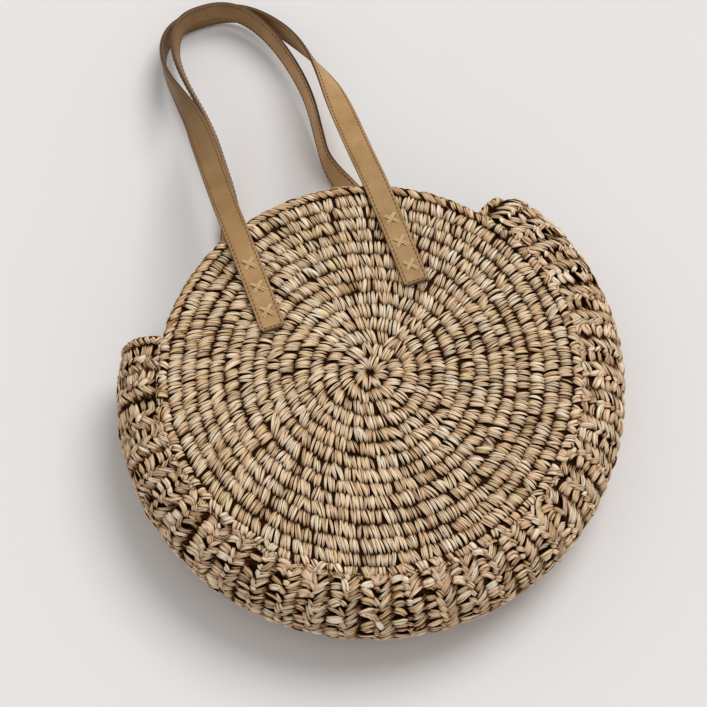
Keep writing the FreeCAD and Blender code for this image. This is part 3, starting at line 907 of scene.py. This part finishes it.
# each edge: radius of its roll, the turns that its rows of stitches take over it, slant along the edge
# the seams also: where they start and how far they go round, in degrees
edges = {
    "joining": {
        "size": 0.0058, "pitch": 0.0066, "width": 0.0060, "slant": 0.0010, "slantChange": 0.0030,
        "rolls": [(165, 25), (60, -45), (-30, -190)],
        "start": bag["stripStart"], "sweep": bag["stripSweep"], "finish": "strip", "node": "_joining_round",
    },
    "mouth": {
        "size": 0.0042, "pitch": 0.0058, "width": 0.0042, "slant": 0.0062, "slantChange": 0.0014,
        "rolls": [(185, 20), (40, -60), (-45, -190)],
        "start": bag["mouthMiddle"] - bag["mouthHalf"], "sweep": 2 * bag["mouthHalf"],
        "finish": "edging", "node": "_mouth_edging",
    },
    "end": {
        "size": 0.0044, "pitch": 0.0054, "width": 0.0044, "slant": 0.0026, "slantChange": 0.0034,
        "rolls": [(-80, 60), (40, 150), (135, 270)],
    },
}


def wrapParts(lineAt, length, rng, edge, way):
    # lineAt(distance) gives the middle of the edge, its outward and upward directions
    s = np.linspace(-1, 1, wrap["points"])[None, :]
    taper = 1 - wrap["taper"] * np.abs(s) ** 3
    count = 2 * max(2, round(length / edge["pitch"] / 2))
    pitch = length / count
    made = []
    for row, (rollFrom, rollTo) in enumerate(edge["rolls"]):
        twos = wrap["pairing"] * np.where(np.arange(count) % 2, -1, 1)
        place = np.arange(count) + wrap["rowStart"] + 0.5 * (row % 2) + twos
        place = (place + rng.normal(0, wrap["placeChange"], count)) * pitch
        slant = way * edge["slant"] + rng.normal(0, edge["slantChange"], count)
        distance = np.clip(place[:, None] + slant[:, None] * s, wrap["endGap"], length - wrap["endGap"])
        roll = np.radians(rollFrom + (rollTo - rollFrom) * (s + 1) / 2)
        roll = roll + rng.normal(0, wrap["rollChange"], count)[:, None]
        proud = np.repeat(rng.uniform(0, wrap["scallop"], count // 2), 2)
        sink = wrap["dive"] * np.abs(s) ** wrap["diveCurve"] + rng.uniform(0, wrap["uneven"], count)[:, None]
        middle, outward, upward = lineAt(distance)
        away = outward * np.cos(roll)[..., None] + upward * np.sin(roll)[..., None]
        ropeAt = edge["size"] - wrap["strandThick"] / 2 + proud[:, None] - sink
        centres = middle + away * ropeAt[..., None]
        halfWidth = edge["width"] / 2 * rng.normal(1, wrap["widthChange"], count)[:, None] * taper
        halfThick = wrap["strandThick"] / 2 * rng.normal(1, wrap["thickChange"], count)[:, None] * taper
        tone = randomTones(rng.uniform(0, 1, count))
        # how far the strand sinks, which the straw finish paints as shade
        depth = np.clip(1 - sink / wrap["dive"], 0, 1)
        made.append(strands(centres, away, halfWidth, halfThick, tone, depth))
    # a core inside the roll, painted in the dark Shade colour as shade
    steps = max(wrap["fewestCoreSteps"], int(length / wrap["coreStep"]))
    distance = np.linspace(wrap["coreEndGap"], length - wrap["coreEndGap"], steps)[None, :]
    middle, outward, upward = lineAt(distance)
    wide = np.full((1, steps), edge["size"] - wrap["coreDepth"])
    tone, depth = np.array([groundTone]), np.zeros((1, steps))
    made.append(strands(middle, outward, wide, wide, tone, depth, roundCord))
    return joined(made)


def seamLine(height, startAngle, sense):
    # sense is +1 on the front of the bag and -1 on its back
    def lineAt(distance):
        angle = math.radians(startAngle) + distance / bag["seamRadius"]
        outward = aroundBag(1.0, angle, 0.0)
        middle = outward * bag["seamRadius"] + np.array([0, 0, height])
        return middle, outward, np.broadcast_to(np.array([0.0, 0.0, sense]), middle.shape)

    return lineAt


def endLine(side):
    # side is +1 at the left end of the strip and -1 at the right end
    endAngle = math.radians(bag["mouthMiddle"] + side * bag["mouthHalf"])
    sideways = np.array([math.sin(endAngle), -math.cos(endAngle), 0.0]) * side
    shift = sideways * (bag["ropeRadius"] + wrap["fromStripEnd"])

    def lineAt(distance):
        arcAngle = stripEnd - distance / bag["stripArc"]
        angle = np.full_like(arcAngle, endAngle)
        middle = stripPlace(angle, bag["stripArc"], arcAngle) + shift
        return middle, stripNormal(angle, arcAngle), np.broadcast_to(sideways, middle.shape)

    return lineAt


rng = np.random.default_rng(37)
for name, panel in panels.items():
    height, sense = bag[name + "Seam"], float(panel["facing"])
    for seam in ("joining", "mouth"):
        edge = edges[seam]
        line = seamLine(height, edge["start"] - wrap["overrun"], sense)
        length = math.radians(edge["sweep"] + 2 * wrap["overrun"]) * bag["seamRadius"]
        part = wrapParts(line, length, rng, edge, sense)
        made = strandObject(name + "_" + seam + "_stitches", part, edge["finish"])
        fitted(made, name + edge["node"])
for name, side in (("left", 1), ("right", -1)):
    part = wrapParts(endLine(side), 2 * stripEnd * bag["stripArc"], rng, edges["end"], 1)
    made = strandObject(name + "_strip_end_stitches", part, "edging")
    fitted(made, name + "_gusset_edging")

# leather handles

strap = {
    "thickness": 0.0028,
    "tabCorner": 0.002,
    "tabClearance": 0.0004,
    "backTabFace": 0.0012,
    "archFullness": 0.77,
    "flexGap": 0.0008,
    "lean": 0.014,  # both loops lie over to the left at the top
    "leanFrom": 0.110,
    "tabPoints": 60,
    "legPoints": 80,
    "archPoints": 240,
    "step": 0.0030,
    "fold": 0.016,  # length of the bend where the strap leaves the rim
    "foldPasses": 10,
    "tilt": 0.012,  # length over which the tab's slope turns into the loop's
    "slopeStep": 0.001,
    "tipWear": 0.0012,
}
strapHalf = bag["strapWidth"] / 2
innerEdge = bag["strapSpacing"] / 2 - strapHalf
rimAtStrap = math.sqrt((bag["seamRadius"] + bag["ropeRadius"]) ** 2 - innerEdge ** 2)


def frontTabHeight(y):
    return frontTop(np.hypot(innerEdge, y)) + strap["tabClearance"] + strap["thickness"] / 2


def backTabHeight(y):
    return np.full_like(y, strap["backTabFace"] + strap["thickness"] / 2)


handles = {
    "front": {
        "rimGap": 0.0004,
        "tabHeight": frontTabHeight,
        "apex": 0.0107,
        "legRun": 0.133,
        "archRise": 0.101,
        "squeeze": 0.0,
        "squeezeRun": 0.133,
        "openFrom": 0.0,
        "spread": 0.0025,
        "leftDraw": 0.0075,
        "twistStart": 0.060,
        "twistRun": 0.130,
        "twist": 90.0,
        "face": 1,
        "curve": lambda share: share,
    },
    "back": {
        "rimGap": 0.0016,
        "tabHeight": backTabHeight,
        "apex": 0.022,
        "legRun": 0.150,
        "archRise": 0.080,
        "squeeze": 0.0185,
        "squeezeRun": 0.078,
        "openFrom": 0.045,
        "spread": 0.0075,
        "leftDraw": 0.0095,
        "twistStart": 0.0,
        "twistRun": 0.078,
        "twist": 75.0,
        "face": -1,
        "curve": lambda share: np.sin(np.pi / 2 * share),
    },
}
for handle in handles.values():
    handle["hingeY"] = rimAtStrap + handle["rimGap"]


def handlePath(handle):
    # the strap's middle line, from the tip of its right tab round the loop to the tip of its left tab
    hingeY, tabHeight = handle["hingeY"], handle["tabHeight"]
    startY = hingeY + strap["flexGap"] / 2
    startZ = float(tabHeight(np.array([hingeY]))[0])
    whole = handle["legRun"] + handle["archRise"]

    def heightAt(run):
        return startZ + (handle["apex"] - startZ) * handle["curve"](run / whole)

    def legHalf(run, opening):
        drawnIn = handle["squeeze"] * ease(run / handle["squeezeRun"])
        opened = opening * ease((run - handle["openFrom"]) / (handle["legRun"] - handle["openFrom"]))
        return bag["strapSpacing"] / 2 - drawnIn + opened

    def slope(levelAt, low, high):
        return (levelAt(high) - levelAt(low)) / (2 * strap["slopeStep"])

    legRuns = np.linspace(0, handle["legRun"], strap["legPoints"])[:-1]
    turn = np.linspace(0, np.pi / 2, strap["archPoints"])
    archRuns = handle["legRun"] + handle["archRise"] * np.sin(turn) ** strap["archFullness"]
    runs = np.concatenate([legRuns, archRuns])
    lean = strap["lean"] * ease((runs - strap["leanFrom"]) / (whole - strap["leanFrom"]))
    sides = []
    for side, opening in ((1, handle["spread"]), (-1, handle["spread"] - handle["leftDraw"])):
        archHalf = legHalf(handle["legRun"], opening) * np.cos(turn).clip(0) ** strap["archFullness"]
        halves = np.concatenate([legHalf(legRuns, opening), archHalf])
        sides.append(np.stack([side * halves - lean, startY + runs, heightAt(runs)], 1))
    right, left = sides[0], sides[1][::-1][1:]
    tabY = np.linspace(bag["tabTip"], hingeY - strap["flexGap"] / 2, strap["tabPoints"])
    tab = np.stack([np.full_like(tabY, bag["strapSpacing"] / 2), tabY, tabHeight(tabY)], 1)
    points = np.concatenate([tab, right, left, tab[::-1] * np.array([-1, 1, 1])])
    # even spacing along the strap
    lengths = np.concatenate([[0], np.cumsum(np.linalg.norm(np.diff(points, axis=0), axis=1))])
    even = np.linspace(0, lengths[-1], int(lengths[-1] / strap["step"]) + 1)
    points = np.stack([np.interp(even, lengths, points[:, k]) for k in range(3)], 1)
    nearFlex = np.exp(-(((points[:, 1] - hingeY) / strap["fold"]) ** 2))[:, None]
    for _ in range(strap["foldPasses"]):  # a soft bend where the strap leaves the rim
        smooth = points.copy()
        smooth[1:-1] = 0.25 * points[:-2] + 0.5 * points[1:-1] + 0.25 * points[2:]
        points = points + (smooth - points) * nearFlex
    forward = unit(np.gradient(points, axis=0))
    y, step = points[:, 1], strap["slopeStep"]
    run = np.clip(y - startY, 0, None)
    rise = slope(heightAt, np.clip(run - step, 0, None), run + step)
    tabRise = slope(tabHeight, y - step, y + step)
    rise = tabRise + (rise - tabRise) * ease((y - hingeY) / strap["tilt"] + 0.5)
    planeWay = unit(np.stack([np.zeros_like(rise), -rise, np.ones_like(rise)], 1))
    outward = unit(np.cross(forward, planeWay))
    lift = np.cross(outward, forward) * handle["face"]
    twist = np.radians(handle["twist"]) * ease((run - handle["twistStart"]) / handle["twistRun"])[:, None]
    faceWay = lift * np.cos(twist) + outward * np.sin(twist)
    widthWay = outward * np.cos(twist) - lift * np.sin(twist)
    return {"points": points, "width": widthWay, "face": faceWay, "forward": forward, "lengths": even}


# half of each layer's section: distance from the middle line, height from the strap's middle, edge wear
strapLayers = {
    "face": [
        (0.0000, 0.00152, 0.0), (0.0030, 0.00151, 0.0), (0.0058, 0.00147, 0.0), (0.0070, 0.00140, 0.1),
        (0.0078, 0.00118, 0.45), (0.0086, 0.00136, 0.15), (0.0093, 0.00130, 0.3), (0.0098, 0.00108, 0.7),
        (0.0100, 0.00070, 1.0), (0.0099, 0.00030, 1.0), (0.0096, 0.00002, 1.0),
    ],
    "backing": [
        (0.0000, -0.00140, 0.0), (0.0040, -0.00140, 0.0), (0.0070, -0.00136, 0.1), (0.0078, -0.00116, 0.4),
        (0.0086, -0.00134, 0.15), (0.0093, -0.00128, 0.3), (0.0098, -0.00106, 0.7), (0.0100, -0.00070, 1.0),
        (0.0099, -0.00028, 1.0), (0.0096, -0.00002, 1.0),
    ],
}


def strapLayer(name, path, section, finishName):
    right = np.array(section)
    left = right[1:][::-1] * np.array([-1, 1, 1])
    across, up, worn = np.concatenate([left, right]).T[:, None, :]
    lengths = path["lengths"][:, None]
    fromEnd = np.minimum(lengths, lengths[-1] - lengths)
    # rounded tip corners
    corner = strap["tabCorner"]
    cut = corner - np.sqrt(np.clip(corner ** 2 - np.clip(corner - fromEnd, 0, corner) ** 2, 0, None))
    narrow = (strapHalf - cut) / strapHalf
    points = (
        path["points"][:, None, :]
        + path["width"][:, None, :] * (across * narrow)[..., None]
        + path["face"][:, None, :] * up[..., None]
    )
    rows, columns = points.shape[:2]
    faces = gridQuads(rows, columns).tolist()
    faces += [list(range(columns))[::-1], list(range((rows - 1) * columns, rows * columns))]
    handed = np.cross(path["width"][0], path["face"][0]) @ path["forward"][0]
    if np.sign(section[0][1]) * handed > 0:
        faces = [face[::-1] for face in faces]
    place = np.stack(np.broadcast_arrays(lengths, across, up), axis=-1)
    wear = np.maximum(worn, np.clip(1 - fromEnd / strap["tipWear"], 0, 1))
    attributes = {"strapPlace": place.reshape(-1, 3), "strapEdge": wear.reshape(-1)}
    return makeObject(name, points, faces, finishName, attributes)


def bendHandle(made, handle, layer):
    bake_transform(made)
    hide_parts(*[handle + place + layer for place in ("_left_tab_", "_right_tab_", "_loop_")])
    print("piece", made.name, len(made.data.polygons), "faces")


def alongPath(path, distance):
    def read(values):
        return np.stack([np.interp(distance, path["lengths"], values[:, k]) for k in range(3)], -1)

    return read(path["points"]), unit(read(path["width"])), unit(read(path["face"]))


def sewn(path, distance, away, lift, half, flat, rng):
    # thread over the strap; distance along it, away from its middle line: stitches x points
    # lift: 1 x points, above the strap's middle on its face and below it on its back
    middle, widthWay, faceWay = alongPath(path, distance)
    centres = middle + widthWay * away[..., None] + faceWay * lift[..., None]
    ups = faceWay * np.sign(lift)[..., None]
    half = np.repeat(half, len(distance), 0)
    tone = rng.uniform(*threadTones, len(distance))
    return strands(centres, ups, half, half * flat, tone, np.ones_like(half), roundCord)


stitch = {
    "pitch": 0.0040,
    "length": 0.0034,
    "width": 0.00085,
    "taper": 0.35,
    "flat": 0.85,
    "inset": 0.0022,
    "fromTip": 0.0022,
    "slant": 0.00022,
    "uneven": 0.00006,
    "faceHeight": 0.00116,
    "backHeight": 0.00114,
    "bulge": 0.00034,
    "dip": 2.2,  # the ends dip by this many bulges
    "points": 6,
    "tipStitches": 4,
    "tipReach": 0.0056,
    "tipLift": 0.0003,
}


def stitchRows(path, side, height, rng):
    s = np.linspace(-1, 1, stitch["points"])[None, :]
    bulge = height + stitch["bulge"] * (1 - stitch["dip"] * np.abs(s) ** 3)
    half = stitch["width"] / 2 * (1 - stitch["taper"] * np.abs(s) ** 3)
    total = path["lengths"][-1]
    count = int((total - 2 * stitch["fromTip"]) / stitch["pitch"])
    spare = (total - count * stitch["pitch"]) / 2
    place = spare + (np.arange(count) + 0.5) * stitch["pitch"]
    made = []
    for edge in (-1, 1):
        distance = place[:, None] + s * stitch["length"] / 2
        away = edge * (strapHalf - stitch["inset"]) + stitch["slant"] * s
        away = away + rng.normal(0, stitch["uneven"], count)[:, None]
        made.append(sewn(path, distance, away, side * bulge, half, stitch["flat"], rng))
    # a short row across each tip
    across = np.linspace(-stitch["tipReach"], stitch["tipReach"], stitch["tipStitches"])[:, None]
    away = across + s * stitch["length"] / 2
    for tip in (stitch["fromTip"], total - stitch["fromTip"]):
        lift = side * (bulge + stitch["tipLift"])
        made.append(sewn(path, np.full_like(away, tip), away, lift, half, stitch["flat"], rng))
    return made


cross = {
    "count": 3,
    "pitch": 0.022,
    "size": 0.0104,
    "uneven": 0.00018,
    "fromTip": 0.016,
    "width": 0.0014,
    "taper": 0.3,
    "flat": 0.8,
    "pair": 0.000518,
    "lift": 0.0020,
    "arch": 0.00035,
    "overLift": 0.0006,  # the second pair of threads lies over the first
    "endDip": 0.0012,
    "points": 9,
}


def crossParts(path, fromStart, rng):
    s = np.linspace(-1, 1, cross["points"])[None, :]
    half = cross["width"] / 2 * (1 - cross["taper"] * np.abs(s) ** 6)
    made = []
    for number in range(cross["count"]):
        centre = cross["fromTip"] + number * cross["pitch"]
        for order, lean in enumerate((-1, 1)):
            arch = cross["arch"] + cross["overLift"] * order
            lift = cross["lift"] + arch * (1 - s ** 2) - cross["endDip"] * np.abs(s) ** 8
            for pair in (-cross["pair"], cross["pair"]):
                reach = cross["size"] / 2 + rng.normal(0, cross["uneven"], 2)
                distance = centre + (s * reach[0] + pair)
                if not fromStart:
                    distance = path["lengths"][-1] - distance
                away = lean * (s * reach[1] - pair)
                made.append(sewn(path, distance, away, lift, half, cross["flat"], rng))
    return joined(made)


rng = np.random.default_rng(53)
for name, handle in handles.items():
    path = handlePath(handle)
    for layer, section in strapLayers.items():
        made = strapLayer(name + "_handle_" + layer, path, section, layer)
        bendHandle(made, name, layer)
    rows = stitchRows(path, 1, stitch["faceHeight"], rng) + stitchRows(path, -1, stitch["backHeight"], rng)
    made = strandObject(name + "_handle_stitches", joined(rows), "edgeThread")
    bendHandle(made, name, "stitching")
    for side, fromStart in (("_right", True), ("_left", False)):
        made = strandObject(name + side + "_crosses", crossParts(path, fromStart, rng), "crossThread")
        fitted(made, name + side + "_cross_stitches")
    print("handle", name, "strap length", round(path["lengths"][-1] * 1000), "mm")

# lining, pocket and snap

lining = {
    "rim": 0.1646,
    "thickness": 0.0007,
    "gap": 0.0008,  # between the panels and the middle of the cloth
    "ripple": 0.00015,
    "hole": 0.004,
    "rings": 34,
    "turns": 120,
    "sideColumns": 160,
    "sideRows": 24,
    "puckers": 47,  # in a full turn of the bag
    "puckerDepth": 0.0006,
    "sideRadius": 0.18,
}


rippling = {
    "broad": ((61, 23, 0.0), (17, -47, 1.3)),  # turns across and up for each metre, and where they start
    "fine": 140,
    "fineShare": 0.6,
    "waver": 3,
    "waverTurns": 90,
}


def ripples(x, y, size):
    # broad hollows crossed by finer, wavering folds
    broad = np.prod([np.sin(across * x + up * y + start) for across, up, start in rippling["broad"]], axis=0)
    fine = np.sin(rippling["fine"] * x + rippling["waver"] * np.sin(rippling["waverTurns"] * y))
    return size * (broad + rippling["fineShare"] * fine)


def clothObject(name, points, finishName, closedColumns=False):
    rows, columns = points.shape[:2]
    faces = gridQuads(rows, columns, False, closedColumns).tolist()
    if closedColumns:
        faces.append(list(range(columns))[::-1])
    made = makeObject(name, points, faces, finishName, {})
    solid = made.modifiers.new("cloth thickness", "SOLIDIFY")
    solid.thickness = lining["thickness"]
    solid.offset = 0
    return made


radii = np.linspace(lining["hole"], lining["rim"], lining["rings"])
for name, held in (("front", "stretched"), ("back", "laid")):
    heights = inPanel(panels[name], radii, bag["panelThickness"] + lining["gap"])
    points = turnedGrid(np.stack([radii, heights], axis=1), lining["turns"])
    points[..., 2] += ripples(points[..., 0], points[..., 1], lining["ripple"])
    cloth = clothObject("lining_" + name + "_cloth", points, "lining", closedColumns=True)
    fitted(cloth, "lining_" + name)

turns = np.radians(bag["stripStart"] + np.linspace(0, bag["stripSweep"], lining["sideColumns"]))[None, :]
sideLift = bag["stripArc"] - bag["stripThickness"] / 2 - lining["gap"]
sideEnd = arcEnd(sideLift)
arc = np.linspace(-sideEnd, sideEnd, lining["sideRows"])[:, None]
puckers = lining["puckerDepth"] * (1 - (arc / sideEnd) ** 2) * (np.sin(lining["puckers"] * turns) - 1)
sideCloth = clothObject("lining_side_cloth", stripPlace(turns, sideLift + puckers, arc), "lining")
fitted(sideCloth, "lining_side")

pocket = {
    "width": 0.140,
    "depth": 0.100,
    "top": 0.085,
    "height": 0.0098,
    "columns": 57,
    "rows": 41,
    "sag": 0.0006,  # the mouth of the pocket stands open a little
    "sagFrom": 0.02,
    "sagRun": 0.06,
    "hem": 0.012,
    "hemStep": 0.0005,
    "hemRun": 0.001,
    "ripple": 0.0001,
}
across = np.linspace(-pocket["width"] / 2, pocket["width"] / 2, pocket["columns"])[None, :]
up = np.linspace(pocket["top"] - pocket["depth"], pocket["top"], pocket["rows"])[:, None]
sag = pocket["sag"] * ease((up - pocket["sagFrom"]) / pocket["sagRun"])
sag = sag * np.cos(np.pi * across / pocket["width"])
hem = pocket["hemStep"] * ease((up - pocket["top"] + pocket["hem"]) / pocket["hemRun"] + 1)
height = pocket["height"] + sag + hem + ripples(across, up, pocket["ripple"])
pocketPoints = np.stack(np.broadcast_arrays(across, up, height), -1)
pocketCloth = clothObject("slip_pocket_cloth", pocketPoints, "pocket")
fitted(pocketCloth, "slip_pocket")

# halves of the snap: radius and height up from the lowest point
snapProfiles = {
    "stud": [
        (0.0006, 0.0000), (0.0022, 0.0001), (0.0028, 0.0005), (0.0029, 0.0018), (0.0032, 0.0026),
        (0.0046, 0.0027), (0.0060, 0.0025), (0.0072, 0.0027), (0.0084, 0.0030), (0.0089, 0.0036),
        (0.0089, 0.0044), (0.0084, 0.0048), (0.0006, 0.0048),
    ],
    "socket": [
        (0.0006, 0.0000), (0.0084, 0.0000), (0.0089, 0.0005), (0.0089, 0.0022), (0.0084, 0.0029),
        (0.0072, 0.0032), (0.0060, 0.0030), (0.0048, 0.0032), (0.0037, 0.0031), (0.0035, 0.0027),
        (0.0034, 0.0008), (0.0006, 0.0007),
    ],
}
snapSteps = 48
studLow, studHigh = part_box("snap_stud")
snapY = (studLow.y + studHigh.y) / 2
for name, profile in snapProfiles.items():
    node = "snap_" + name
    points = turnedGrid(np.array(profile), snapSteps) + np.array([0, snapY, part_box(node)[0].z])
    faces = gridQuads(len(profile), snapSteps).tolist()
    faces.append(list(range(snapSteps))[::-1])
    faces.append(list(range((len(profile) - 1) * snapSteps, len(profile) * snapSteps)))
    fitted(makeObject(node + "_turned", points, faces, "snap", {}), node)
    plate = nodes[node + "_plate"].data
    plate.materials.clear()
    plate.materials.append(finishes["snap"])
print("lining, pocket and snap made")

# floor, light and camera

studio = {
    "floorSize": 8.0,
    "floor": {"Base Color": screen(231, 229, 228), "Roughness": 0.9, "Specular IOR Level": 0.1},
    "sky": (1.0, 0.99, 0.98, 1.0),
    "skyStrength": 0.58,
    "skySeen": 0.9,  # as the camera and reflections see it
    "keyStrength": 1.62,
    "keySpread": 34.0,
    "keyFrom": (0.95, 0.55, 1.7),
}
half = studio["floorSize"] / 2
floorMesh = bpy.data.meshes.new("floor")
corners = [(-half, -half, 0), (half, -half, 0), (half, half, 0), (-half, half, 0)]
floorMesh.from_pydata(corners, [], [(0, 1, 2, 3)])
floorMesh.materials.append(newMaterial("paleFloor", studio["floor"])[0])
floor = addObject("floor", floorMesh)

world = bpy.data.worlds.new("studio")
scene.world = world
world.use_nodes = True
sky = world.node_tree
backdrop = sky.nodes["Background"].inputs
backdrop["Color"].default_value = studio["sky"]
rays = addNode(sky, "ShaderNodeLightPath").outputs
seen = maths(sky, "MAXIMUM", rays["Is Glossy Ray"], rays["Is Transmission Ray"])
seen = maths(sky, "MAXIMUM", rays["Is Camera Ray"], seen)
sky.links.new(mapped(sky, seen, (0.0, 1.0, studio["skyStrength"], studio["skySeen"])), backdrop["Strength"])


def pointBack(made, away):
    made.rotation_mode = "QUATERNION"
    made.rotation_quaternion = (-away).to_track_quat("-Z", "Y")


keyLamp = bpy.data.lights.new("keyLamp", "SUN")
keyLamp.energy = studio["keyStrength"]
keyLamp.angle = math.radians(studio["keySpread"])
pointBack(addObject("keyLamp", keyLamp), Vector(studio["keyFrom"]))

view = {
    "azimuth": -19.5,
    "elevation": 66.26,
    "distance": 2.2,
    "target": (-0.00206, 0.03351, 0.060),
    "lens": 141.66,
    "sensor": 36.0,
    "farthest": 60.0,
}
azimuth, elevation = math.radians(view["azimuth"]), math.radians(view["elevation"])
level = math.cos(elevation)
away = Vector((math.sin(azimuth) * level, -math.cos(azimuth) * level, math.sin(elevation)))
lensData = bpy.data.cameras.new("camera")
lensData.lens = view["lens"]
lensData.sensor_width = view["sensor"]
lensData.clip_end = view["farthest"]
camera = addObject("camera", lensData)
camera.location = Vector(view["target"]) + away * view["distance"]
pointBack(camera, away)
scene.camera = camera
scene.view_settings.view_transform = "Standard"
print("floor, light and camera made")
